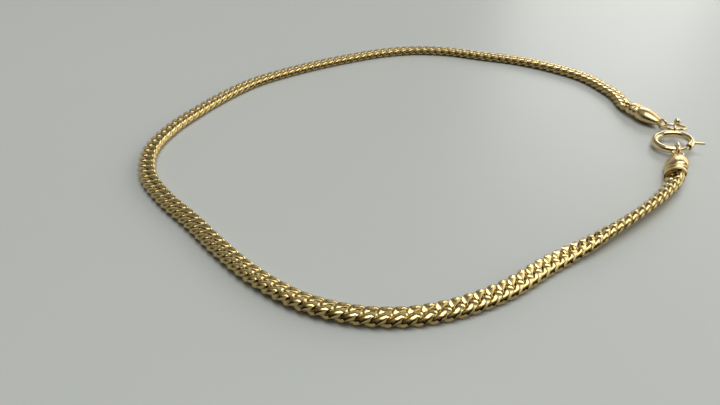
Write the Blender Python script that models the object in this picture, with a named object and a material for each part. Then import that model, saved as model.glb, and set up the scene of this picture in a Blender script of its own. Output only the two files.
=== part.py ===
"""Flat chain bracelet lying in an open loop, fastened by a spring ring clasp.

The chain is one flat tape that rolls from lying on its side to standing nearly on its edge as it goes
round. Each of its ends is held in an end cap. One cap hooks onto the clasp through a jump ring, the other
through a small link ring. Lengths are in metres, +X is right, +Y is away from the viewer, +Z is up.
"""

import math

import bmesh
import bpy
from mathutils import Matrix, Vector

# Chain
CHAIN_WIDTH = 0.0020
CHAIN_THICKNESS = 0.0010
CHAIN_EDGE_RADIUS = 0.0004
CHAIN_EDGE_STEPS = 3
CHAIN_POINTS = 80
STEPS_PER_ROW = 24
CHAIN_IN_CAP = 0.00035
TABLE_GAP = 0.00003

# Route of the chain's middle over the table, from the front end cap round to the far one.
# The roll is 0 where the flat side faces up, and is positive where it leans to the outside of the loop.
ROUTE = (
    # x, y, roll in degrees
    (0.0265, -0.01165, -38),
    (0.0251, -0.0132, -46),
    (0.0226, -0.01558, -52),
    (0.01899, -0.01844, -50),
    (0.01621, -0.02038, -38),
    (0.01411, -0.02184, -22),
    (0.01171, -0.02327, -5),
    (0.00931, -0.02481, 5),
    (0.00462, -0.02812, 7),
    (-0.0007, -0.03032, 3),
    (-0.0063, -0.03085, -7),
    (-0.01181, -0.02933, -9),
    (-0.0165, -0.02609, -7),
    (-0.02048, -0.02206, -3),
    (-0.02415, -0.01778, 0),
    (-0.02806, -0.01353, 0),
    (-0.03126, -0.00886, 0),
    (-0.03255, -0.00326, 0),
    (-0.03155, 0.00224, 0),
    (-0.02926, 0.00753, 0),
    (-0.02653, 0.01253, 0),
    (-0.02308, 0.01728, 0),
    (-0.01874, 0.02099, 0),
    (-0.01401, 0.02417, 0),
    (-0.00899, 0.02693, 0),
    (-0.0037, 0.02927, 0),
    (0.00197, 0.03043, 0),
    (0.00761, 0.02972, 0),
    (0.01286, 0.02758, 0),
    (0.01802, 0.02549, -1),
    (0.02281, 0.02228, -1),
    (0.02675, 0.0180, 0),
    (0.02880, 0.0124, 2),
    (0.02903, 0.0095, 2),
    (0.02893, 0.0080, 3),
)

# End caps: a turned bell, flattened, whose mouth takes the chain and whose nose carries an eye
CAP_HALF_WIDTH = 0.00130
CAP_FLATNESS = 0.66
CAP_LENGTH = 0.0047
CAP_SIDES = 24
CAP_PROFILE = (
    # share of the cap's length from its mouth, share of its half width
    (0.00, 0.90),
    (0.02, 0.91),
    (0.10, 0.91),
    (0.12, 0.83),
    (0.17, 0.83),
    (0.19, 0.90),
    (0.24, 0.90),
    (0.26, 0.83),
    (0.31, 0.83),
    (0.35, 0.96),
    (0.46, 1.00),
    (0.60, 0.97),
    (0.74, 0.84),
    (0.87, 0.62),
    (0.96, 0.42),
    (1.00, 0.28),
)
SOCKET_HALF_WIDTH = 0.00112
SOCKET_DEPTH = 0.0005
EYE_WIRE_RADIUS = 0.00017
EYE_RADIUS = 0.00056
EYE_INTO_NOSE = 0.00012
EYE_STEPS = 20
STEM_START = 0.9

# Where the caps' mouths and the front cap's eye are over the table, and each cap's roll in degrees
FRONT_MOUTH = Vector((0.02721, -0.010415))
FRONT_EYE = Vector((0.02959, -0.00588))
FRONT_CAP_ROLL = -32
FAR_MOUTH = Vector((0.02932, 0.00670))
FAR_CAP_ROLL = 3

# Spring ring: a bent tube with a gap in front and a slot for the bolt's lever. Its eyelet holds the jump ring.
RING_CENTRE = Vector((0.03046, -0.00278, 0.00095))
RING_LEAN = math.radians(-9)
RING_RADIUS = 0.00197
RING_TUBE_RADIUS = 0.00042
RING_BORE_RADIUS = 0.00027
RING_GAP = (-96, -58)
RING_SIDES = 16
RING_STEP = 7.5
EYELET_RADIUS = 0.00042
EYELET_WIRE_RADIUS = 0.00015

# Bolt and its lever, at rest, in degrees round the ring
BOLT_RADIUS = 0.00019
BOLT_SPAN = (-99.5, -14)
BOLT_TRAVEL = 38
BOLT_STEPS = 20
LEVER_ANGLE = -26
LEVER_RADIUS = 0.00019
LEVER_REACH = 0.00340
SLOT_HALF_HEIGHT = 0.00027
SLOT_MARGIN = 9
SLOT_STEPS = 8

# Jump ring, held by the spring ring's eyelet and the far cap's eye, with a bead on it
JUMP_CENTRE = Vector((0.03226, 0.00096, 0.00097))
JUMP_TIP = math.radians(-15)
JUMP_RADIUS = 0.00143
JUMP_WIRE_RADIUS = 0.00018
JUMP_STEPS = 40
JUMP_EYELET_ANGLE = -116
JUMP_EYE_ANGLE = 132
KNOB_ANGLE = 50
KNOB_RADIUS = 0.00040
KNOB_RISE = 0.00048

# Link ring between the spring ring and the front cap's eye
LINK_ANGLE = -104
LINK_WIRE_RADIUS = 0.00018
LINK_HALF_HEIGHT = 0.00072
LINK_INSIDE = 0.00075
LINK_OUTSIDE = 0.00124
LINK_STEPS = 12

WIRE_SIDES = 12
WELD = 0.000001


def clear_scene():
    for obj in list(bpy.data.objects):
        bpy.data.objects.remove(obj, do_unlink=True)


def gold(name, color, roughness):
    material = bpy.data.materials.new(name)
    material.use_nodes = True
    shader = material.node_tree.nodes["Principled BSDF"]
    shader.inputs["Base Color"].default_value = (*color, 1.0)
    shader.inputs["Metallic"].default_value = 1.0
    shader.inputs["Roughness"].default_value = roughness
    return material


def add_object(name, data, material, matrix=None):
    obj = bpy.data.objects.new(name, data)
    bpy.context.scene.collection.objects.link(obj)
    data.materials.append(material)
    if matrix is not None:
        obj.matrix_world = matrix
    return obj


def mesh_object(name, bm, material, matrix=None):
    """Turns a finished bmesh into an object, shaded smooth but for its sharp edges."""
    bmesh.ops.recalc_face_normals(bm, faces=bm.faces)
    mesh = bpy.data.meshes.new(name)
    bm.to_mesh(mesh)
    bm.free()
    mesh.shade_smooth()
    mesh.set_sharp_from_angle(angle=math.radians(40))
    return add_object(name, mesh, material, matrix)


def helper(obj):
    obj.hide_render = True
    obj.display_type = "WIRE"
    return obj


def combine(obj, other, operation):
    """Joins another object to this one, or cuts it out of this one, and keeps the other as a helper."""
    modifier = obj.modifiers.new(other.name, "BOOLEAN")
    modifier.operation = operation
    modifier.object = helper(other)


def rounded_height(roll, half_width, half_thickness, edge_radius):
    """How high the middle of a flat round-edged section lies over the table that it touches."""
    across = (half_width - edge_radius) * abs(math.sin(roll))
    up = (half_thickness - edge_radius) * abs(math.cos(roll))
    return across + up + edge_radius


def catmull_rom(before, start, end, after, t):
    """The point at t from 0 to 1 on the smooth curve from start to end."""
    slope_in = (end - before) / 2
    slope_out = (after - start) / 2
    t2 = t * t
    t3 = t2 * t
    return (
        (2 * t3 - 3 * t2 + 1) * start
        + (t3 - 2 * t2 + t) * slope_in
        + (3 * t2 - 2 * t3) * end
        + (t3 - t2) * slope_out
    )


def cap_axis(mouth, nose_side):
    return (nose_side - mouth).normalized()


def chain_height(roll):
    half = rounded_height(roll, CHAIN_WIDTH / 2, CHAIN_THICKNESS / 2, CHAIN_EDGE_RADIUS)
    return half + TABLE_GAP


def cap_height(roll):
    return math.hypot(CAP_HALF_WIDTH * math.sin(roll), CAP_HALF_WIDTH * CAP_FLATNESS * math.cos(roll))


def cap_rise(mouth, eye, roll):
    """The angle that raises a cap's nose towards its eye."""
    return math.atan2(eye.z - cap_height(roll), (eye.xy - mouth).length)


def front_eye():
    return Vector((*FRONT_EYE, cap_height(math.radians(FRONT_CAP_ROLL))))


def rows_in_cap(mouth, eye, roll):
    """Two rows of x, y, lift and roll, at a cap's mouth and inside it, where the cap holds the chain up."""
    inside = mouth + cap_axis(mouth, eye.xy) * CHAIN_IN_CAP
    lift = cap_height(roll) - chain_height(roll)
    inside_lift = lift + CHAIN_IN_CAP * math.tan(cap_rise(mouth, eye, roll))
    return [Vector((*mouth, lift, roll)), Vector((*inside, inside_lift, roll))]


def chain_rows():
    """The whole route as vectors of x, y, lift over the table and roll in radians."""
    rows = rows_in_cap(FRONT_MOUTH, front_eye(), math.radians(FRONT_CAP_ROLL))[::-1]
    rows += [Vector((x, y, 0.0, math.radians(degrees))) for x, y, degrees in ROUTE]
    rows += rows_in_cap(FAR_MOUTH, far_eye(), math.radians(FAR_CAP_ROLL))
    return rows


def smooth_route(rows, count):
    """Points along the rows, each resting on its lower edge: the first and last rows, evenly spaced between."""
    fine = []
    for i in range(1, len(rows) - 2):
        for k in range(STEPS_PER_ROW):
            fine.append(catmull_rom(*rows[i - 1 : i + 3], k / STEPS_PER_ROW))
    fine.append(rows[-2])
    lengths = [0.0]
    for a, b in zip(fine, fine[1:]):
        lengths.append(lengths[-1] + (b.xy - a.xy).length)
    spaced = [rows[0]]
    at = 0
    for k in range(count - 2):
        wanted = lengths[-1] * k / (count - 3)
        while at < len(fine) - 2 and lengths[at + 1] < wanted:
            at += 1
        share = (wanted - lengths[at]) / (lengths[at + 1] - lengths[at])
        spaced.append(fine[at].lerp(fine[at + 1], share))
    spaced.append(rows[-1])
    return [Vector((x, y, lift + chain_height(roll), roll)) for x, y, lift, roll in spaced]


def flat_section():
    """The chain's cross-section: a rectangle with round edges, as a closed flat curve."""
    curve = bpy.data.curves.new("chain_section", "CURVE")
    curve.dimensions = "2D"
    corners = []
    inner_x = CHAIN_WIDTH / 2 - CHAIN_EDGE_RADIUS
    inner_y = CHAIN_THICKNESS / 2 - CHAIN_EDGE_RADIUS
    for sx, sy, start in ((1, 1, 90), (1, -1, 0), (-1, -1, 270), (-1, 1, 180)):
        for k in range(CHAIN_EDGE_STEPS + 1):
            angle = math.radians(start - 90 * k / CHAIN_EDGE_STEPS)
            x = sx * inner_x + CHAIN_EDGE_RADIUS * math.cos(angle)
            y = sy * inner_y + CHAIN_EDGE_RADIUS * math.sin(angle)
            corners.append((x, y, 0.0, 1.0))
    spline = curve.splines.new("POLY")
    spline.points.add(len(corners) - 1)
    for point, corner in zip(spline.points, corners):
        point.co = corner
    spline.use_cyclic_u = True
    return curve


def make_chain(material):
    section = helper(add_object("chain_section", flat_section(), material))
    curve = bpy.data.curves.new("chain", "CURVE")
    curve.dimensions = "3D"
    curve.twist_mode = "Z_UP"
    curve.bevel_mode = "OBJECT"
    curve.bevel_object = section
    curve.use_fill_caps = True
    points = smooth_route(chain_rows(), CHAIN_POINTS)
    spline = curve.splines.new("POLY")
    spline.points.add(len(points) - 1)
    for point, place in zip(spline.points, points):
        point.co = (*place.xyz, 1.0)
        point.tilt = -place.w
    return add_object("chain", curve, material)


def sweep_ring(bm, section, start, end, steps):
    """Spins a closed section, given as (radius, height) pairs, about Z. Returns its first and last edges."""
    turn = Matrix.Rotation(math.radians(start), 4, "Z")
    verts = [bm.verts.new(turn @ Vector((radius, 0.0, height))) for radius, height in section]
    edges = [bm.edges.new((verts[i - 1], verts[i])) for i in range(len(verts))]
    swept = bmesh.ops.spin(
        bm,
        geom=verts + edges,
        cent=(0, 0, 0),
        axis=(0, 0, 1),
        angle=math.radians(end - start),
        steps=steps,
    )
    last = [item for item in swept["geom_last"] if isinstance(item, bmesh.types.BMEdge)]
    return edges, last


def circle_section(ring_radius, wire_radius, sides):
    return [
        (
            ring_radius + wire_radius * math.cos(2 * math.pi * k / sides),
            wire_radius * math.sin(2 * math.pi * k / sides),
        )
        for k in range(sides)
    ]


def fill_ends(bm, *loops):
    for loop in loops:
        bmesh.ops.edgeloop_fill(bm, edges=loop)


def full_ring(bm, ring_radius, wire_radius, steps):
    sweep_ring(bm, circle_section(ring_radius, wire_radius, WIRE_SIDES), 0, 360, steps)
    bmesh.ops.remove_doubles(bm, verts=bm.verts, dist=WELD)


def tilted(centre, lean, tip=0.0):
    """Placement of a ring whose left side is raised by lean and whose far side is raised by tip."""
    return Matrix.Translation(centre) @ Matrix.Rotation(lean, 4, "Y") @ Matrix.Rotation(tip, 4, "X")


def ring_point(placement, radius, degrees, height=0.0):
    angle = math.radians(degrees)
    return placement @ Vector((radius * math.cos(angle), radius * math.sin(angle), height))


def ring_placement():
    return tilted(RING_CENTRE, RING_LEAN)


def jump_placement():
    return tilted(JUMP_CENTRE, 0.0, JUMP_TIP)


def far_eye():
    """Centre of the far cap's upright eye, level with the cap. The jump ring passes through it."""
    point = ring_point(jump_placement(), JUMP_RADIUS, JUMP_EYE_ANGLE)
    return Vector((point.x, point.y, cap_height(math.radians(FAR_CAP_ROLL))))


def make_end_cap(name, mouth, eye, roll, eye_upright, material):
    """A flattened bell along its own X, from the mouth at 0 to the nose, with an eye joined to the nose."""
    socket_share = SOCKET_HALF_WIDTH / CAP_HALF_WIDTH
    socket_floor = SOCKET_DEPTH / CAP_LENGTH
    profile = [(socket_floor, 0.0), (socket_floor, socket_share), (0.0, socket_share)]
    profile += CAP_PROFILE
    profile.append((1.0, 0.0))
    bm = bmesh.new()
    verts = [bm.verts.new((along * CAP_LENGTH, across * CAP_HALF_WIDTH, 0.0)) for along, across in profile]
    edges = [bm.edges.new(pair) for pair in zip(verts, verts[1:])]
    bmesh.ops.spin(
        bm,
        geom=verts + edges,
        cent=(0, 0, 0),
        axis=(1, 0, 0),
        angle=2 * math.pi,
        steps=CAP_SIDES,
    )
    bmesh.ops.remove_doubles(bm, verts=bm.verts, dist=WELD)
    bmesh.ops.scale(bm, vec=(1, 1, CAP_FLATNESS), verts=bm.verts)
    axis = cap_axis(mouth, eye.xy)
    heading = Matrix.Rotation(math.atan2(axis.y, axis.x), 4, "Z")
    rise = Matrix.Rotation(-cap_rise(mouth, eye, roll), 4, "Y")
    place = Matrix.Translation((*mouth, cap_height(roll))) @ heading @ rise
    cap = mesh_object(name, bm, material, place @ Matrix.Rotation(roll, 4, "X"))

    bm = bmesh.new()
    full_ring(bm, EYE_RADIUS, EYE_WIRE_RADIUS, EYE_STEPS)
    turn = Matrix.Rotation(math.pi / 2 if eye_upright else 0.0, 4, "X")
    ring = mesh_object(name + "_eye", bm, material, Matrix.Translation(eye) @ heading @ turn)

    nose = place @ Vector((CAP_LENGTH * STEM_START, 0.0, 0.0))
    rim = eye + (nose - eye).normalized() * (EYE_RADIUS - EYE_INTO_NOSE)
    stem = make_stem(name + "_stem", nose, rim, EYE_WIRE_RADIUS, material)
    combine(ring, stem, "UNION")
    combine(cap, ring, "UNION")
    return cap


def make_stem(name, start, end, radius, material):
    """A short round rod between two points."""
    bm = bmesh.new()
    bmesh.ops.create_cone(
        bm,
        cap_ends=True,
        segments=WIRE_SIDES,
        radius1=radius,
        radius2=radius,
        depth=(end - start).length,
    )
    facing = (end - start).to_track_quat("Z", "Y").to_matrix().to_4x4()
    return mesh_object(name, bm, material, Matrix.Translation((start + end) / 2) @ facing)


def make_spring_ring(material):
    """A bent tube, open at both sides of its gap, with a slot for the lever and an eyelet on its outer side."""
    first, last = RING_GAP
    steps = round((360 - (last - first)) / RING_STEP)
    bm = bmesh.new()
    sweep_ring(bm, circle_section(RING_RADIUS, RING_TUBE_RADIUS, RING_SIDES), last, first + 360, steps)
    ring = mesh_object("spring_ring", bm, material, ring_placement())
    wall = ring.modifiers.new("wall", "SOLIDIFY")
    wall.thickness = RING_TUBE_RADIUS - RING_BORE_RADIUS
    wall.offset = -1

    slot_end = RING_RADIUS + 2 * RING_TUBE_RADIUS
    bm = bmesh.new()
    ends = sweep_ring(
        bm,
        [
            (RING_RADIUS, -SLOT_HALF_HEIGHT),
            (slot_end, -SLOT_HALF_HEIGHT),
            (slot_end, SLOT_HALF_HEIGHT),
            (RING_RADIUS, SLOT_HALF_HEIGHT),
        ],
        LEVER_ANGLE - SLOT_MARGIN,
        LEVER_ANGLE + BOLT_TRAVEL + SLOT_MARGIN,
        SLOT_STEPS,
    )
    fill_ends(bm, *ends)
    slot = mesh_object("lever_slot", bm, material, ring_placement())
    combine(ring, slot, "DIFFERENCE")

    bm = bmesh.new()
    full_ring(bm, EYELET_RADIUS, EYELET_WIRE_RADIUS, EYE_STEPS)
    middle = ring_point(jump_placement(), JUMP_RADIUS, JUMP_EYELET_ANGLE)
    outward = middle - RING_CENTRE
    turn = Matrix.Rotation(math.atan2(outward.y, outward.x), 4, "Z") @ Matrix.Rotation(math.pi / 2, 4, "X")
    eyelet = mesh_object("eyelet", bm, material, Matrix.Translation(middle) @ turn)
    combine(ring, eyelet, "UNION")
    return ring


def make_gate(material):
    """The curved bolt inside the tube and the lever that sticks out of the slot."""
    first, last = BOLT_SPAN
    bm = bmesh.new()
    section = circle_section(RING_RADIUS, BOLT_RADIUS, WIRE_SIDES)
    ends = sweep_ring(bm, section, first, last, BOLT_STEPS)
    fill_ends(bm, *ends)
    gate = mesh_object("gate", bm, material, ring_placement())
    inside = ring_point(ring_placement(), RING_RADIUS, LEVER_ANGLE)
    outside = ring_point(ring_placement(), LEVER_REACH, LEVER_ANGLE)
    lever = make_stem("lever", inside, outside, LEVER_RADIUS, material)
    combine(gate, lever, "UNION")
    return gate


def make_jump_ring(material):
    bm = bmesh.new()
    full_ring(bm, JUMP_RADIUS, JUMP_WIRE_RADIUS, JUMP_STEPS)
    ring = mesh_object("jump_ring", bm, material, jump_placement())
    bm = bmesh.new()
    bmesh.ops.create_uvsphere(bm, u_segments=14, v_segments=8, radius=KNOB_RADIUS)
    place = ring_point(jump_placement(), JUMP_RADIUS, KNOB_ANGLE, KNOB_RISE)
    knob = mesh_object("knob", bm, material, Matrix.Translation(place))
    combine(ring, knob, "UNION")
    return ring


def make_link_ring(material):
    """An upright oval wire that holds the spring ring's tube and the front cap's eye together."""
    held = ring_point(ring_placement(), RING_RADIUS, LINK_ANGLE)
    outward = (FRONT_EYE - held.xy).normalized().to_3d()
    straight = LINK_INSIDE + LINK_OUTSIDE - 2 * LINK_HALF_HEIGHT
    curve = bpy.data.curves.new("link_ring", "CURVE")
    curve.dimensions = "3D"
    curve.bevel_depth = LINK_WIRE_RADIUS
    curve.bevel_resolution = 2
    path = []
    for side, start in ((1, -90), (-1, 90)):
        for k in range(LINK_STEPS + 1):
            angle = math.radians(start + 180 * k / LINK_STEPS)
            along = LINK_HALF_HEIGHT * math.cos(angle) + side * straight / 2
            path.append((along, LINK_HALF_HEIGHT * math.sin(angle)))
    middle = held + outward * (LINK_OUTSIDE - LINK_INSIDE) / 2
    middle.z = LINK_HALF_HEIGHT + LINK_WIRE_RADIUS + TABLE_GAP
    spline = curve.splines.new("POLY")
    spline.points.add(len(path) - 1)
    for point, (along, up) in zip(spline.points, path):
        point.co = (*(middle + outward * along + Vector((0, 0, up))), 1.0)
    spline.use_cyclic_u = True
    return add_object("link_ring", curve, material)


def main():
    clear_scene()
    chain_gold = gold("chain_gold", (0.83, 0.62, 0.24), 0.22)
    cap_gold = gold("cap_gold", (0.85, 0.66, 0.32), 0.25)
    clasp_gold = gold("clasp_gold", (0.86, 0.70, 0.38), 0.20)
    make_chain(chain_gold)
    front_roll = math.radians(FRONT_CAP_ROLL)
    make_end_cap("end_cap_front", FRONT_MOUTH, front_eye(), front_roll, False, cap_gold)
    far_roll = -math.radians(FAR_CAP_ROLL)
    make_end_cap("end_cap_far", FAR_MOUTH, far_eye(), far_roll, True, cap_gold)
    make_spring_ring(clasp_gold)
    make_gate(clasp_gold)
    make_jump_ring(clasp_gold)
    make_link_ring(clasp_gold)


main()
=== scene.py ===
"""Flat gold chain bracelet on a pale table, fastened by its spring ring.

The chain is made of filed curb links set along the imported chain's route. Each piece of the clasp
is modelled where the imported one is. Lengths are in metres.
"""

import math

import bpy
from mathutils import Matrix, Vector


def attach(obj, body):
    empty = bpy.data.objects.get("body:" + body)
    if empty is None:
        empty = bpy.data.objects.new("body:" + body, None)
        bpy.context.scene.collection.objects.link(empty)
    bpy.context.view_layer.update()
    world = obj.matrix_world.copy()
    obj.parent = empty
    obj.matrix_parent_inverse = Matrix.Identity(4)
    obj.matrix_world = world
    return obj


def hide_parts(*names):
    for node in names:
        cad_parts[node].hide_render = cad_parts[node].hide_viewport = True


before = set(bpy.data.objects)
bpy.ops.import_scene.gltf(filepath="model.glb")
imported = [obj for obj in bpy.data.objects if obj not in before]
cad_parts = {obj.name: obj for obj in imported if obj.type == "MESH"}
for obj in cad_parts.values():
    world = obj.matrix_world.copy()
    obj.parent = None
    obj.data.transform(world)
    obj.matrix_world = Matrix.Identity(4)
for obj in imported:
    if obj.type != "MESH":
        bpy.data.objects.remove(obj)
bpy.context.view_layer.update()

bpy.ops.object.select_all(action="DESELECT")

# Chain, as it is packed
CHAIN_WIDTH = 0.0020
CHAIN_THICKNESS = 0.0010
CHAIN_EDGE_RADIUS = 0.0004
CHAIN_IN_CAP = 0.00035
TABLE_GAP = 0.00003
STEPS_PER_ROW = 24
ROUTE = (
    # x, y, roll in degrees
    (0.0265, -0.01165, -38),
    (0.0251, -0.0132, -46),
    (0.0226, -0.01558, -52),
    (0.01899, -0.01844, -50),
    (0.01621, -0.02038, -38),
    (0.01411, -0.02184, -22),
    (0.01171, -0.02327, -5),
    (0.00931, -0.02481, 5),
    (0.00462, -0.02812, 7),
    (-0.0007, -0.03032, 3),
    (-0.0063, -0.03085, -7),
    (-0.01181, -0.02933, -9),
    (-0.0165, -0.02609, -7),
    (-0.02048, -0.02206, -3),
    (-0.02415, -0.01778, 0),
    (-0.02806, -0.01353, 0),
    (-0.03126, -0.00886, 0),
    (-0.03255, -0.00326, 0),
    (-0.03155, 0.00224, 0),
    (-0.02926, 0.00753, 0),
    (-0.02653, 0.01253, 0),
    (-0.02308, 0.01728, 0),
    (-0.01874, 0.02099, 0),
    (-0.01401, 0.02417, 0),
    (-0.00899, 0.02693, 0),
    (-0.0037, 0.02927, 0),
    (0.00197, 0.03043, 0),
    (0.00761, 0.02972, 0),
    (0.01286, 0.02758, 0),
    (0.01802, 0.02549, -1),
    (0.02281, 0.02228, -1),
    (0.02675, 0.0180, 0),
    (0.02880, 0.0124, 2),
    (0.02903, 0.0095, 2),
    (0.02893, 0.0080, 3),
)
# Curb link: an oval of round wire, twisted and then filed flat on both sides
LINK_PITCH = 0.00120
LINK_HALF_LENGTH = 0.00102
LINK_HALF_WIDTH = 0.00059
LINK_WIRE_RADIUS = 0.00042
LINK_TWIST = math.radians(-120)
FILED_HALF = 0.00046

# End caps, as they are packed
CAP_HALF_WIDTH = 0.00130
CAP_FLATNESS = 0.66
CAP_LENGTH = 0.0047
FRONT_MOUTH = Vector((0.02721, -0.010415))
FRONT_EYE = Vector((0.02959, -0.00588))
FRONT_CAP_ROLL = math.radians(-32)
FAR_MOUTH = Vector((0.02932, 0.00670))
FAR_CAP_ROLL = math.radians(3)
EYE_RADIUS = 0.00056
EYE_WIRE_RADIUS = 0.00017
CAP_SIDES = 40
CAP_PROFILE = (
    # share of the cap's length from its mouth, share of its half width
    (0.100, 0.82),
    (0.000, 0.86),
    (0.000, 0.885),
    (0.010, 0.905),
    (0.090, 0.91),
    (0.105, 0.90),
    (0.118, 0.83),
    (0.130, 0.80),
    (0.160, 0.80),
    (0.172, 0.83),
    (0.185, 0.895),
    (0.200, 0.91),
    (0.230, 0.91),
    (0.245, 0.895),
    (0.258, 0.83),
    (0.270, 0.80),
    (0.300, 0.80),
    (0.315, 0.84),
    (0.335, 0.93),
    (0.360, 0.97),
    (0.460, 1.00),
    (0.600, 0.97),
    (0.740, 0.84),
    (0.870, 0.62),
    (0.940, 0.47),
    (0.985, 0.36),
    (1.000, 0.28),
)

# Clasp, as it is packed
RING_CENTRE = Vector((0.03046, -0.00278, 0.00095))
RING_LEAN = math.radians(-9)
RING_RADIUS = 0.00197
RING_TUBE_RADIUS = 0.00042
RING_BORE_RADIUS = 0.00027
RING_GAP = (-96, -58)
BOLT_RADIUS = 0.00019
BOLT_SPAN = (-99.5, -14)
BOLT_TRAVEL = 38
LEVER_ANGLE = -26
LEVER_REACH = 0.00340
LEVER_RADIUS = 0.00018
LEVER_DOME = 0.00010
SLOT_HALF_HEIGHT = 0.00027
SLOT_MARGIN = 9
EYELET_RADIUS = 0.00042
EYELET_WIRE_RADIUS = 0.00015
JUMP_EYELET_ANGLE = -116
JUMP_CENTRE = Vector((0.03226, 0.00096, 0.00097))
JUMP_TIP = math.radians(-15)
JUMP_RADIUS = 0.00143
JUMP_WIRE_RADIUS = 0.00018
JUMP_EYE_ANGLE = 132
KNOB_ANGLE = 50
KNOB_RADIUS = 0.00040
KNOB_RISE = 0.00048
LINK_RING_ANGLE = -104
LINK_RING_WIRE = 0.00018
LINK_RING_HALF_HEIGHT = 0.00072
LINK_RING_INSIDE = 0.00075
LINK_RING_OUTSIDE = 0.00124

# Solder, bead and broken edges
SOLDER_RADIUS = 0.00030
SOLDER_START = 0.93
SOLDER_NARROWS = 0.7
EYE_OVERLAP = 0.00010
BEAD_SEAT = 0.00012
BEAD_SEAT_SPREAD = 1.15
TUBE_EDGE = 0.00004
BOLT_EDGE = 0.00008
WELD = 0.000001
CUT_THRESHOLD = 0.0000001

# Table, camera and room
TABLE_SIZE = 1.2
TABLE_MIDDLE = (0.0, 0.1, 0.0)
TABLE_DARK = (0.596, 0.626, 0.618, 1.0)
TABLE_LIGHT = (0.636, 0.662, 0.654, 1.0)
TABLE_ROUGHNESS = 0.38
CAMERA_PLACE = (-0.0074, -0.0635, 0.03442)
CAMERA_DOWN = 0.6059
CAMERA_ROLL = -0.00743
CAMERA_LENS = 28.56
FRONT_TO_BACK = (-0.25, 0.35)
WINDOW_SIDE = (0.95, 0.30, 0.0)
WINDOW_EDGE = (0.50, 0.75)
WALL_TONE = (0.46, 0.48, 0.47, 1.0)


# Places

def catmull_rom(before, start, end, after, t):
    slope_in = (end - before) / 2
    slope_out = (after - start) / 2
    t2 = t * t
    t3 = t2 * t
    return (
        (2 * t3 - 3 * t2 + 1) * start
        + (t3 - 2 * t2 + t) * slope_in
        + (3 * t2 - 2 * t3) * end
        + (t3 - t2) * slope_out
    )


def chain_height(roll):
    across = (CHAIN_WIDTH / 2 - CHAIN_EDGE_RADIUS) * abs(math.sin(roll))
    up = (CHAIN_THICKNESS / 2 - CHAIN_EDGE_RADIUS) * abs(math.cos(roll))
    return across + up + CHAIN_EDGE_RADIUS + TABLE_GAP


def cap_height(roll):
    half_height = CAP_HALF_WIDTH * CAP_FLATNESS
    return math.hypot(CAP_HALF_WIDTH * math.sin(roll), half_height * math.cos(roll))


def tilted(centre, lean, tip=0.0):
    return Matrix.Translation(centre) @ Matrix.Rotation(lean, 4, "Y") @ Matrix.Rotation(tip, 4, "X")


def ring_point(place, radius, degrees, height=0.0):
    angle = math.radians(degrees)
    return place @ Vector((radius * math.cos(angle), radius * math.sin(angle), height))


RING_PLACE = tilted(RING_CENTRE, RING_LEAN)
JUMP_PLACE = tilted(JUMP_CENTRE, 0.0, JUMP_TIP)


def front_eye():
    return Vector((*FRONT_EYE, cap_height(FRONT_CAP_ROLL)))


def far_eye():
    point = ring_point(JUMP_PLACE, JUMP_RADIUS, JUMP_EYE_ANGLE)
    return Vector((point.x, point.y, cap_height(FAR_CAP_ROLL)))


def cap_rise(mouth, eye, roll):
    return math.atan2(eye.z - cap_height(roll), (eye.xy - mouth).length)


def cap_heading(mouth, eye):
    axis = eye.xy - mouth
    return Matrix.Rotation(math.atan2(axis.y, axis.x), 4, "Z")


def rows_in_cap(mouth, eye, roll):
    inside = mouth + (eye.xy - mouth).normalized() * CHAIN_IN_CAP
    lift = cap_height(roll) - chain_height(roll)
    inside_lift = lift + CHAIN_IN_CAP * math.tan(cap_rise(mouth, eye, roll))
    return [Vector((*mouth, lift, roll)), Vector((*inside, inside_lift, roll))]


def fine_route():
    rows = rows_in_cap(FRONT_MOUTH, front_eye(), FRONT_CAP_ROLL)[::-1]
    rows += [Vector((x, y, 0.0, math.radians(degrees))) for x, y, degrees in ROUTE]
    rows += rows_in_cap(FAR_MOUTH, far_eye(), FAR_CAP_ROLL)
    fine = []
    for i in range(1, len(rows) - 2):
        for k in range(STEPS_PER_ROW):
            fine.append(catmull_rom(*rows[i - 1 : i + 3], k / STEPS_PER_ROW))
    fine.append(rows[-2])
    return fine


def link_places():
    """A placement for each link, evenly spaced along the route."""
    fine = fine_route()
    lengths = [0.0]
    for a, b in zip(fine, fine[1:]):
        lengths.append(lengths[-1] + (b.xy - a.xy).length)
    count = round(lengths[-1] / LINK_PITCH)
    places = []
    at = 0
    for k in range(count):
        wanted = lengths[-1] * (k + 0.5) / count
        while at < len(fine) - 2 and lengths[at + 1] < wanted:
            at += 1
        share = (wanted - lengths[at]) / (lengths[at + 1] - lengths[at])
        x, y, lift, roll = fine[at].lerp(fine[at + 1], share)
        ahead = (fine[min(at + 4, len(fine) - 1)].xy - fine[max(at - 3, 0)].xy).normalized().to_3d()
        left = Vector((-ahead.y, ahead.x, 0.0))
        side = left * math.cos(roll) - Vector((0, 0, 1)) * math.sin(roll)
        turn = Matrix((ahead, side, ahead.cross(side))).transposed().to_4x4()
        places.append(Matrix.Translation((x, y, lift + chain_height(roll))) @ turn)
    return places


# Hand tools

def edit(kind="VERT"):
    bpy.ops.object.mode_set(mode="EDIT")
    bpy.ops.mesh.select_mode(type=kind)


def done():
    bpy.ops.object.mode_set(mode="OBJECT")


def select_only(*objects):
    bpy.ops.object.select_all(action="DESELECT")
    for obj in objects:
        obj.select_set(True)
    bpy.context.view_layer.objects.active = objects[0]


def join(*objects):
    select_only(*objects)
    bpy.ops.object.join()
    return bpy.context.object


def clean(obj):
    """Merges doubled points and turns the faces outwards."""
    select_only(obj)
    edit()
    bpy.ops.mesh.select_all(action="SELECT")
    bpy.ops.mesh.remove_doubles(threshold=WELD)
    bpy.ops.mesh.normals_make_consistent(inside=False)
    done()


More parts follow.
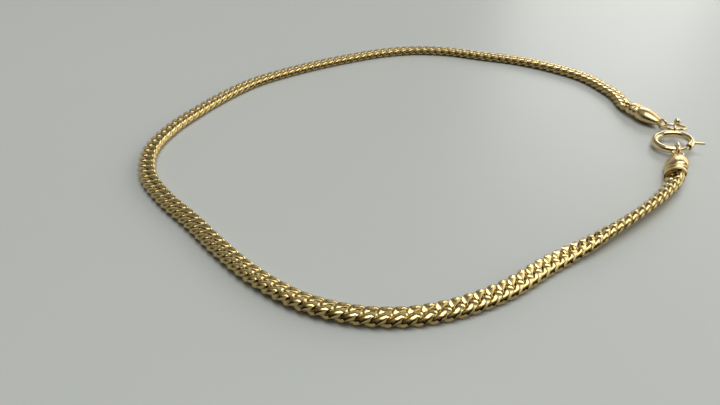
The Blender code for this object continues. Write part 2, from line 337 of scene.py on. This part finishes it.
def soften(obj, width, segments=2, angle=35):
    select_only(obj)
    bevel = obj.modifiers.new("edges", "BEVEL")
    bevel.width = width
    bevel.segments = segments
    bevel.limit_method = "ANGLE"
    bevel.angle_limit = math.radians(angle)
    bevel.harden_normals = False
    bpy.ops.object.modifier_apply(modifier="edges")


def put(obj, place):
    """Sets a piece in its place, leaving the object itself at the origin."""
    select_only(obj)
    obj.matrix_world = place @ obj.matrix_world
    bpy.ops.object.transform_apply(location=True, rotation=True, scale=True)


def facing(direction):
    """The turn that brings Z to a direction."""
    return direction.to_track_quat("Z", "Y").to_matrix().to_4x4()


def smooth(obj, degrees):
    select_only(obj)
    bpy.ops.object.shade_smooth_by_angle(angle=math.radians(degrees))


def give_finish(obj, material):
    obj.data.materials.clear()
    obj.data.materials.append(material)


def wire_arc(name, ring_radius, wire_radius, start, end, steps, sides):
    """Round wire spun about Z from start to end, in degrees. A whole turn closes on itself."""
    angle = math.radians(start)
    bpy.ops.mesh.primitive_circle_add(
        vertices=sides,
        radius=wire_radius,
        location=(ring_radius * math.cos(angle), ring_radius * math.sin(angle), 0.0),
        rotation=(math.pi / 2, 0.0, angle),
    )
    obj = bpy.context.object
    obj.name = name
    bpy.ops.object.transform_apply(location=True, rotation=True, scale=True)
    edit()
    bpy.ops.mesh.select_all(action="SELECT")
    turn = math.radians(start - end)
    bpy.ops.mesh.spin(steps=steps, angle=turn, center=(0, 0, 0), axis=(0, 0, 1))
    done()
    return obj


def close_ends(obj):
    select_only(obj)
    edit()
    bpy.ops.mesh.select_all(action="SELECT")
    bpy.ops.mesh.fill_holes(sides=0)
    done()


def select_faces(obj, wanted):
    """Selects the faces whose centre and normal pass the test."""
    select_only(obj)
    edit("FACE")
    bpy.ops.mesh.select_all(action="DESELECT")
    done()
    for face in obj.data.polygons:
        face.select = wanted(face.center, face.normal)
    edit("FACE")


# Chain

def make_link():
    bpy.ops.curve.primitive_bezier_circle_add(radius=1.0)
    link = bpy.context.object
    link.name = "link"
    link.data.resolution_u = 4
    link.data.bevel_depth = LINK_WIRE_RADIUS
    link.data.bevel_resolution = 1
    bpy.ops.object.mode_set(mode="EDIT")
    bpy.ops.curve.select_all(action="SELECT")
    bpy.ops.transform.resize(value=(LINK_HALF_LENGTH, LINK_HALF_WIDTH, 1.0))
    done()
    bpy.ops.object.convert(target="MESH")
    link = bpy.context.object
    twist = link.modifiers.new("twist", "SIMPLE_DEFORM")
    twist.deform_method = "TWIST"
    twist.deform_axis = "X"
    twist.angle = LINK_TWIST
    bpy.ops.object.modifier_apply(modifier="twist")
    edit()
    for side in (1, -1):
        bpy.ops.mesh.select_all(action="SELECT")
        bpy.ops.mesh.bisect(
            plane_co=(0, 0, side * FILED_HALF),
            plane_no=(0, 0, side),
            use_fill=True,
            clear_outer=True,
            threshold=CUT_THRESHOLD,
        )
    done()
    clean(link)
    # The filed flats are marked so that the chain's finish paints shade on all the other faces.
    filed = link.data.attributes.new("filed", "FLOAT", "FACE")
    for face, mark in zip(link.data.polygons, filed.data):
        level = abs(face.normal.z) > 0.99
        mark.value = float(level and abs(face.center.z) > 0.98 * FILED_HALF)
    smooth(link, 62)
    return link


def make_chain_links(material):
    link = make_link()
    copies = []
    for place in link_places():
        copy = link.copy()
        copy.data = link.data.copy()
        copy.matrix_world = place
        bpy.context.scene.collection.objects.link(copy)
        copies.append(copy)
    bpy.data.objects.remove(link, do_unlink=True)
    links = join(*copies)
    put(links, Matrix.Identity(4))
    links.name = "chain_links"
    give_finish(links, material)
    return links


# Clasp pieces

def make_end_cap(name, mouth, eye, roll, eye_upright, material):
    bpy.ops.mesh.primitive_circle_add(
        vertices=CAP_SIDES,
        radius=CAP_PROFILE[0][1] * CAP_HALF_WIDTH,
        rotation=(0, math.pi / 2, 0),
    )
    cap = bpy.context.object
    cap.name = name
    bpy.ops.object.transform_apply(location=True, rotation=True, scale=True)
    edit()
    bpy.ops.mesh.select_all(action="SELECT")
    bpy.ops.transform.translate(value=(CAP_PROFILE[0][0] * CAP_LENGTH, 0, 0))
    for (before, width_before), (along, width) in zip(CAP_PROFILE, CAP_PROFILE[1:]):
        step = (along - before) * CAP_LENGTH
        share = width / width_before
        bpy.ops.mesh.extrude_region_move(TRANSFORM_OT_translate={"value": (step, 0, 0)})
        bpy.ops.transform.resize(value=(1.0, share, share), center_override=(0, 0, 0))
    bpy.ops.mesh.select_all(action="SELECT")
    bpy.ops.mesh.fill_holes(sides=0)
    bpy.ops.transform.resize(value=(1.0, 1.0, CAP_FLATNESS), center_override=(0, 0, 0))
    done()
    clean(cap)
    smooth(cap, 38)
    heading = cap_heading(mouth, eye)
    rise = Matrix.Rotation(-cap_rise(mouth, eye, roll), 4, "Y")
    place = Matrix.Translation((*mouth, cap_height(roll))) @ heading @ rise
    put(cap, place @ Matrix.Rotation(roll, 4, "X"))

    ring = wire_arc(name + "_eye", EYE_RADIUS, EYE_WIRE_RADIUS, 0, 360, 36, 16)
    clean(ring)
    upright = Matrix.Rotation(math.pi / 2 if eye_upright else 0.0, 4, "X")
    put(ring, Matrix.Translation(eye) @ heading @ upright)
    nose = place @ Vector((SOLDER_START * CAP_LENGTH, 0.0, 0.0))
    rim = eye + (nose - eye).normalized() * (EYE_RADIUS - EYE_OVERLAP)
    bpy.ops.mesh.primitive_cylinder_add(
        vertices=20,
        radius=SOLDER_RADIUS,
        depth=1.0,
        location=(0, 0, 0.5),
    )
    solder = bpy.context.object
    bpy.ops.object.transform_apply(location=True, rotation=True, scale=True)
    edit()
    bpy.ops.mesh.select_all(action="SELECT")
    bpy.ops.transform.resize(value=(1.0, 1.0, (rim - nose).length), center_override=(0, 0, 0))
    done()
    select_faces(solder, lambda centre, normal: normal.z > 0.9)
    bpy.ops.transform.resize(value=(SOLDER_NARROWS, SOLDER_NARROWS, 1.0))
    done()
    put(solder, Matrix.Translation(nose) @ facing(rim - nose))
    for other in (ring, solder):
        smooth(other, 50)
    cap = join(cap, ring, solder)
    give_finish(cap, material)
    return cap


def make_spring_ring(material):
    first, last = RING_GAP
    sweep = (last, first + 360)
    ring = wire_arc("spring_ring_tube", RING_RADIUS, RING_TUBE_RADIUS, *sweep, 86, 24)
    slot_start = math.radians(LEVER_ANGLE - SLOT_MARGIN)
    slot_end = math.radians(LEVER_ANGLE + BOLT_TRAVEL + SLOT_MARGIN)

    def in_slot(centre, normal):
        angle = math.atan2(centre.y, centre.x)
        outside = math.hypot(centre.x, centre.y) > RING_RADIUS + 0.5 * RING_TUBE_RADIUS
        return outside and abs(centre.z) < SLOT_HALF_HEIGHT * 0.92 and slot_start < angle < slot_end

    clean(ring)
    select_faces(ring, in_slot)
    bpy.ops.mesh.delete(type="FACE")
    done()
    wall = ring.modifiers.new("wall", "SOLIDIFY")
    wall.thickness = RING_TUBE_RADIUS - RING_BORE_RADIUS
    wall.offset = -1
    select_only(ring)
    bpy.ops.object.modifier_apply(modifier="wall")
    soften(ring, TUBE_EDGE, 2, 50)
    smooth(ring, 40)
    put(ring, RING_PLACE)

    eyelet = wire_arc("spring_ring_eyelet", EYELET_RADIUS, EYELET_WIRE_RADIUS, 0, 360, 36, 16)
    clean(eyelet)
    smooth(eyelet, 60)
    middle = ring_point(JUMP_PLACE, JUMP_RADIUS, JUMP_EYELET_ANGLE)
    outward = middle - RING_CENTRE
    heading = Matrix.Rotation(math.atan2(outward.y, outward.x), 4, "Z")
    put(eyelet, Matrix.Translation(middle) @ heading @ Matrix.Rotation(math.pi / 2, 4, "X"))
    ring = join(ring, eyelet)
    ring.name = "spring_ring_tube"
    give_finish(ring, material)
    return ring


def make_gate(material):
    first, last = BOLT_SPAN
    bolt = wire_arc("gate_bolt", RING_RADIUS, BOLT_RADIUS, first, last, 36, 20)
    close_ends(bolt)
    clean(bolt)
    soften(bolt, BOLT_EDGE, 3, 50)
    bpy.ops.mesh.primitive_cylinder_add(
        vertices=24,
        radius=LEVER_RADIUS,
        depth=1.0,
        location=(0, 0, 0.5),
    )
    lever = bpy.context.object
    bpy.ops.object.transform_apply(location=True, rotation=True, scale=True)
    edit()
    bpy.ops.mesh.select_all(action="SELECT")
    length = LEVER_REACH - RING_RADIUS - LEVER_DOME
    bpy.ops.transform.resize(value=(1.0, 1.0, length), center_override=(0, 0, 0))
    done()
    select_faces(lever, lambda centre, normal: normal.z > 0.9)
    for share, width in ((0.5, 0.88), (0.35, 0.72), (0.15, 0.60)):
        rise = (0, 0, share * LEVER_DOME)
        bpy.ops.mesh.extrude_region_move(TRANSFORM_OT_translate={"value": rise})
        bpy.ops.transform.resize(value=(width, width, 1.0), center_override=(0, 0, 0))
    done()
    angle = math.radians(LEVER_ANGLE)
    outward = Vector((math.cos(angle), math.sin(angle), 0.0))
    put(lever, Matrix.Translation(outward * RING_RADIUS) @ facing(outward))
    for piece in (bolt, lever):
        smooth(piece, 45)
    gate = join(bolt, lever)
    gate.name = "gate_bolt"
    put(gate, RING_PLACE)
    give_finish(gate, material)
    return gate


def make_jump_ring(material):
    ring = wire_arc("jump_ring_wire", JUMP_RADIUS, JUMP_WIRE_RADIUS, 0, 360, 96, 18)
    clean(ring)
    smooth(ring, 60)
    bpy.ops.mesh.primitive_uv_sphere_add(segments=28, ring_count=16, radius=KNOB_RADIUS)
    bead = bpy.context.object
    select_faces(bead, lambda centre, normal: normal.z < -0.8)
    bpy.ops.mesh.extrude_region_move(TRANSFORM_OT_translate={"value": (0, 0, -BEAD_SEAT)})
    bpy.ops.transform.resize(value=(BEAD_SEAT_SPREAD, BEAD_SEAT_SPREAD, 1.0))
    done()
    smooth(bead, 40)
    seat = ring_point(Matrix.Identity(4), JUMP_RADIUS, KNOB_ANGLE, KNOB_RISE)
    put(bead, Matrix.Translation(seat))
    ring = join(ring, bead)
    ring.name = "jump_ring_wire"
    put(ring, JUMP_PLACE)
    give_finish(ring, material)
    return ring


def make_link_ring(material):
    held = ring_point(RING_PLACE, RING_RADIUS, LINK_RING_ANGLE)
    outward = (FRONT_EYE - held.xy).normalized().to_3d()
    straight = LINK_RING_INSIDE + LINK_RING_OUTSIDE - 2 * LINK_RING_HALF_HEIGHT
    ring = wire_arc("link_ring_wire", LINK_RING_HALF_HEIGHT, LINK_RING_WIRE, -90, 90, 20, 18)
    edit("EDGE")
    bpy.ops.mesh.select_all(action="DESELECT")
    bpy.ops.mesh.select_non_manifold()
    back = (-straight / 2, 0, 0)
    bpy.ops.mesh.extrude_region_move(TRANSFORM_OT_translate={"value": back})
    bpy.ops.mesh.select_all(action="SELECT")
    bpy.ops.transform.translate(value=(straight / 2, 0, 0))
    done()
    mirror = ring.modifiers.new("other_half", "MIRROR")
    mirror.merge_threshold = WELD
    bpy.ops.object.modifier_apply(modifier="other_half")
    clean(ring)
    smooth(ring, 60)
    middle = held + outward * (LINK_RING_OUTSIDE - LINK_RING_INSIDE) / 2
    middle.z = LINK_RING_HALF_HEIGHT + LINK_RING_WIRE + TABLE_GAP
    up = Vector((0, 0, 1))
    place = Matrix((outward, up, outward.cross(up))).transposed().to_4x4()
    put(ring, Matrix.Translation(middle) @ place)
    give_finish(ring, material)
    return ring


# Finishes

def link_nodes(tree, pairs):
    for out_socket, in_socket in pairs:
        tree.links.new(out_socket, in_socket)


def make_hand_worn_group():
    """Slow drift between two tones of gold, with fine handling scratches."""
    group = bpy.data.node_groups.new("hand_worn_gold", "ShaderNodeTree")
    sockets = (
        ("Clear tone", "NodeSocketColor", (0.90, 0.72, 0.36, 1.0)),
        ("Deep tone", "NodeSocketColor", (0.70, 0.50, 0.20, 1.0)),
        ("Drift per metre", "NodeSocketFloat", 420.0),
        ("Scratches per metre", "NodeSocketFloat", 5200.0),
        ("Polished", "NodeSocketFloat", 0.16),
        ("Worn", "NodeSocketFloat", 0.30),
        ("Scratch strength", "NodeSocketFloat", 0.08),
    )
    for name, kind, value in sockets:
        socket = group.interface.new_socket(name, in_out="INPUT", socket_type=kind)
        socket.default_value = value
    results = (
        ("Tone", "NodeSocketColor"),
        ("Roughness", "NodeSocketFloat"),
        ("Normal", "NodeSocketVector"),
    )
    for name, kind in results:
        group.interface.new_socket(name, in_out="OUTPUT", socket_type=kind)
    nodes = group.nodes
    given = nodes.new("NodeGroupInput")
    result = nodes.new("NodeGroupOutput")
    place = nodes.new("ShaderNodeTexCoord")
    drift = nodes.new("ShaderNodeTexNoise")
    drift.inputs["Detail"].default_value = 3.0
    tone = nodes.new("ShaderNodeMix")
    tone.data_type = "RGBA"
    along = nodes.new("ShaderNodeMapping")
    along.inputs["Scale"].default_value = (1.0, 0.18, 0.6)
    along.inputs["Rotation"].default_value = (0.3, 0.2, 0.6)
    hairs = nodes.new("ShaderNodeTexNoise")
    hairs.inputs["Detail"].default_value = 2.0
    wear = nodes.new("ShaderNodeMapRange")
    wear.inputs["From Min"].default_value = 0.35
    wear.inputs["From Max"].default_value = 0.70
    bump = nodes.new("ShaderNodeBump")
    bump.inputs["Distance"].default_value = 0.00001
    link_nodes(
        group,
        (
            (place.outputs["Object"], drift.inputs["Vector"]),
            (given.outputs["Drift per metre"], drift.inputs["Scale"]),
            (drift.outputs["Fac"], tone.inputs["Factor"]),
            (given.outputs["Clear tone"], tone.inputs["A"]),
            (given.outputs["Deep tone"], tone.inputs["B"]),
            (tone.outputs["Result"], result.inputs["Tone"]),
            (place.outputs["Object"], along.inputs["Vector"]),
            (along.outputs["Vector"], hairs.inputs["Vector"]),
            (given.outputs["Scratches per metre"], hairs.inputs["Scale"]),
            (hairs.outputs["Fac"], wear.inputs["Value"]),
            (given.outputs["Polished"], wear.inputs["To Min"]),
            (given.outputs["Worn"], wear.inputs["To Max"]),
            (wear.outputs["Result"], result.inputs["Roughness"]),
            (hairs.outputs["Fac"], bump.inputs["Height"]),
            (given.outputs["Scratch strength"], bump.inputs["Strength"]),
            (bump.outputs["Normal"], result.inputs["Normal"]),
        ),
    )
    return group


def make_gold(name, group, clear, deep, polished, worn, scratch, recess_shade=None):
    """Gold with a hand-worn surface. The recess shade is painted shade: the faces that aren't filed
    take a darker tone, like the shade down between the links.
    """
    gold = bpy.data.materials.new(name)
    gold.use_nodes = True
    gold.diffuse_color = clear
    tree = gold.node_tree
    shader = tree.nodes["Principled BSDF"]
    shader.inputs["Metallic"].default_value = 1.0
    worn_group = tree.nodes.new("ShaderNodeGroup")
    worn_group.node_tree = group
    worn_group.inputs["Clear tone"].default_value = clear
    worn_group.inputs["Deep tone"].default_value = deep
    worn_group.inputs["Polished"].default_value = polished
    worn_group.inputs["Worn"].default_value = worn
    worn_group.inputs["Scratch strength"].default_value = scratch
    colour = worn_group.outputs["Tone"]
    # Painted shade: the faces that aren't filed are darkened to the recess tone.
    if recess_shade:
        filed = tree.nodes.new("ShaderNodeAttribute")
        filed.attribute_name = "filed"
        recess_shade_mix = tree.nodes.new("ShaderNodeMix")
        recess_shade_mix.data_type = "RGBA"
        recess_shade_mix.inputs["A"].default_value = recess_shade
        tree.links.new(filed.outputs["Fac"], recess_shade_mix.inputs["Factor"])
        tree.links.new(colour, recess_shade_mix.inputs["B"])
        colour = recess_shade_mix.outputs["Result"]
    link_nodes(
        tree,
        (
            (colour, shader.inputs["Base Color"]),
            (worn_group.outputs["Roughness"], shader.inputs["Roughness"]),
            (worn_group.outputs["Normal"], shader.inputs["Normal"]),
        ),
    )
    return gold


# Table, camera and light

def make_table():
    bpy.ops.mesh.primitive_plane_add(size=TABLE_SIZE, location=TABLE_MIDDLE)
    table = bpy.context.object
    table.name = "table_top"
    bpy.ops.object.transform_apply(location=True, rotation=False, scale=True)
    lacquer = bpy.data.materials.new("pale_table")
    lacquer.use_nodes = True
    tree = lacquer.node_tree
    shader = tree.nodes["Principled BSDF"]
    shader.inputs["Roughness"].default_value = TABLE_ROUGHNESS
    place = tree.nodes.new("ShaderNodeTexCoord")
    mottle = tree.nodes.new("ShaderNodeTexNoise")
    mottle.inputs["Scale"].default_value = 14.0
    mottle.inputs["Detail"].default_value = 3.0
    tone = tree.nodes.new("ShaderNodeMix")
    tone.data_type = "RGBA"
    tone.inputs["A"].default_value = TABLE_DARK
    tone.inputs["B"].default_value = TABLE_LIGHT
    link_nodes(
        tree,
        (
            (place.outputs["Object"], mottle.inputs["Vector"]),
            (mottle.outputs["Fac"], tone.inputs["Factor"]),
            (tone.outputs["Result"], shader.inputs["Base Color"]),
        ),
    )
    table.data.materials.append(lacquer)
    return table


def make_camera():
    bpy.ops.object.camera_add()
    camera = bpy.context.object
    camera.name = "camera"
    camera.data.lens = CAMERA_LENS
    camera.data.sensor_width = 36.0
    camera.data.clip_start = 0.002
    pitch = Matrix.Rotation(math.pi / 2 - CAMERA_DOWN, 4, "X")
    roll = Matrix.Rotation(CAMERA_ROLL, 4, "Z")
    camera.matrix_world = Matrix.Translation(CAMERA_PLACE) @ pitch @ roll
    bpy.context.scene.camera = camera


def add_area(name, at, wide, high, watts, colour):
    """An area light that faces the bracelet."""
    bpy.ops.object.light_add(type="AREA", location=at)
    light = bpy.context.object
    light.name = name
    light.data.shape = "RECTANGLE"
    light.data.size = wide
    light.data.size_y = high
    light.data.energy = watts
    light.data.color = colour
    light.rotation_euler = (-Vector(at)).to_track_quat("-Z", "Y").to_euler()


def colour_ramp(tree, stops):
    ramp = tree.nodes.new("ShaderNodeValToRGB")
    for element, (position, colour) in zip(ramp.color_ramp.elements, (stops[0], stops[-1])):
        element.position = position
        element.color = (*colour, 1.0)
    for position, colour in stops[1:-1]:
        ramp.color_ramp.elements.new(position).color = (*colour, 1.0)
    return ramp


def make_room(front, back, window):
    """The room's light by height, from level (0) to overhead (1), on each of its three sides.

    The camera itself sees a plain wall beyond the table.
    """
    world = bpy.data.worlds.new("room")
    bpy.context.scene.world = world
    world.use_nodes = True
    tree = world.node_tree
    background = tree.nodes["Background"]
    place = tree.nodes.new("ShaderNodeTexCoord")
    split = tree.nodes.new("ShaderNodeSeparateXYZ")
    depth = tree.nodes.new("ShaderNodeMapRange")
    depth.interpolation_type = "SMOOTHSTEP"
    depth.inputs["From Min"].default_value = FRONT_TO_BACK[0]
    depth.inputs["From Max"].default_value = FRONT_TO_BACK[1]
    towards = tree.nodes.new("ShaderNodeVectorMath")
    towards.operation = "DOT_PRODUCT"
    towards.inputs[1].default_value = WINDOW_SIDE
    beside = tree.nodes.new("ShaderNodeMapRange")
    beside.interpolation_type = "SMOOTHSTEP"
    beside.inputs["From Min"].default_value = WINDOW_EDGE[0]
    beside.inputs["From Max"].default_value = WINDOW_EDGE[1]
    front_ramp = colour_ramp(tree, front)
    back_ramp = colour_ramp(tree, back)
    window_ramp = colour_ramp(tree, window)
    mix = tree.nodes.new("ShaderNodeMix")
    mix.data_type = "RGBA"
    lit = tree.nodes.new("ShaderNodeMix")
    lit.data_type = "RGBA"
    path = tree.nodes.new("ShaderNodeLightPath")
    wall = tree.nodes.new("ShaderNodeMix")
    wall.data_type = "RGBA"
    wall.inputs["B"].default_value = WALL_TONE
    link_nodes(
        tree,
        (
            (place.outputs["Generated"], split.inputs["Vector"]),
            (place.outputs["Generated"], towards.inputs[0]),
            (split.outputs["Y"], depth.inputs["Value"]),
            (towards.outputs["Value"], beside.inputs["Value"]),
            (split.outputs["Z"], front_ramp.inputs["Fac"]),
            (split.outputs["Z"], back_ramp.inputs["Fac"]),
            (split.outputs["Z"], window_ramp.inputs["Fac"]),
            (depth.outputs["Result"], mix.inputs["Factor"]),
            (front_ramp.outputs["Color"], mix.inputs["A"]),
            (back_ramp.outputs["Color"], mix.inputs["B"]),
            (beside.outputs["Result"], lit.inputs["Factor"]),
            (mix.outputs["Result"], lit.inputs["A"]),
            (window_ramp.outputs["Color"], lit.inputs["B"]),
            (path.outputs["Is Camera Ray"], wall.inputs["Factor"]),
            (lit.outputs["Result"], wall.inputs["A"]),
            (wall.outputs["Result"], background.inputs["Color"]),
        ),
    )


# Bracelet

hand_worn = make_hand_worn_group()
chain_gold = make_gold(
    "filed_chain_gold",
    hand_worn,
    clear=(0.95, 0.765, 0.38, 1.0),
    deep=(0.80, 0.62, 0.27, 1.0),
    polished=0.08,
    worn=0.20,
    scratch=0.08,
    # painted shade on the faces of the links that aren't filed
    recess_shade=(0.56, 0.42, 0.18, 1.0),
)
cap_gold = make_gold(
    "turned_cap_gold",
    hand_worn,
    clear=(0.86, 0.68, 0.36, 1.0),
    deep=(0.72, 0.54, 0.26, 1.0),
    polished=0.14,
    worn=0.30,
    scratch=0.08,
)
clasp_gold = make_gold(
    "polished_clasp_gold",
    hand_worn,
    clear=(0.92, 0.78, 0.50, 1.0),
    deep=(0.80, 0.64, 0.36, 1.0),
    polished=0.08,
    worn=0.20,
    scratch=0.05,
)

links = make_chain_links(chain_gold)
front_cap = make_end_cap(
    "end_cap_front_turned",
    FRONT_MOUTH,
    front_eye(),
    FRONT_CAP_ROLL,
    False,
    cap_gold,
)
far_cap = make_end_cap(
    "end_cap_far_turned",
    FAR_MOUTH,
    far_eye(),
    -FAR_CAP_ROLL,
    True,
    cap_gold,
)
pieces = (
    (links, "bracelet", "chain", "chain_gold"),
    (front_cap, "bracelet", "end_cap_front", "cap_gold"),
    (far_cap, "bracelet", "end_cap_far", "cap_gold"),
    (make_spring_ring(clasp_gold), "bracelet", "spring_ring", "clasp_gold"),
    (make_jump_ring(clasp_gold), "bracelet", "jump_ring", "clasp_gold"),
    (make_link_ring(clasp_gold), "bracelet", "link_ring", "clasp_gold"),
    (make_gate(clasp_gold), "gate", "gate", "clasp_gold"),
)
for piece, body, node, slot in pieces:
    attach(piece, body)
    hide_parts(node)

make_table()
make_camera()
add_area("window", (0.145, 0.30, 0.12), 0.12, 0.14, 0.10, (1.0, 0.99, 0.96))
add_area("ceiling", (0.03, 0.02, 0.45), 0.34, 0.34, 0.84, (1.0, 1.0, 0.98))
make_room(
    front=(
        (0.00, (0.012, 0.009, 0.006)),
        (0.50, (0.022, 0.018, 0.012)),
        (0.74, (0.16, 0.15, 0.12)),
        (0.88, (0.42, 0.42, 0.40)),
        (1.00, (0.60, 0.60, 0.58)),
    ),
    back=(
        (0.00, (0.44, 0.43, 0.41)),
        (0.26, (0.38, 0.37, 0.34)),
        (0.46, (0.20, 0.195, 0.165)),
        (0.66, (0.115, 0.11, 0.08)),
        (0.88, (0.30, 0.30, 0.28)),
        (1.00, (0.60, 0.60, 0.58)),
    ),
    window=(
        (0.00, (0.60, 0.60, 0.58)),
        (0.14, (1.00, 1.00, 0.97)),
        (0.30, (1.40, 1.40, 1.34)),
        (0.64, (1.40, 1.40, 1.34)),
        (0.78, (0.30, 0.30, 0.28)),
        (1.00, (0.60, 0.60, 0.58)),
    ),
)
bpy.context.scene.view_settings.view_transform = "Standard"

bpy.ops.object.select_all(action="DESELECT")
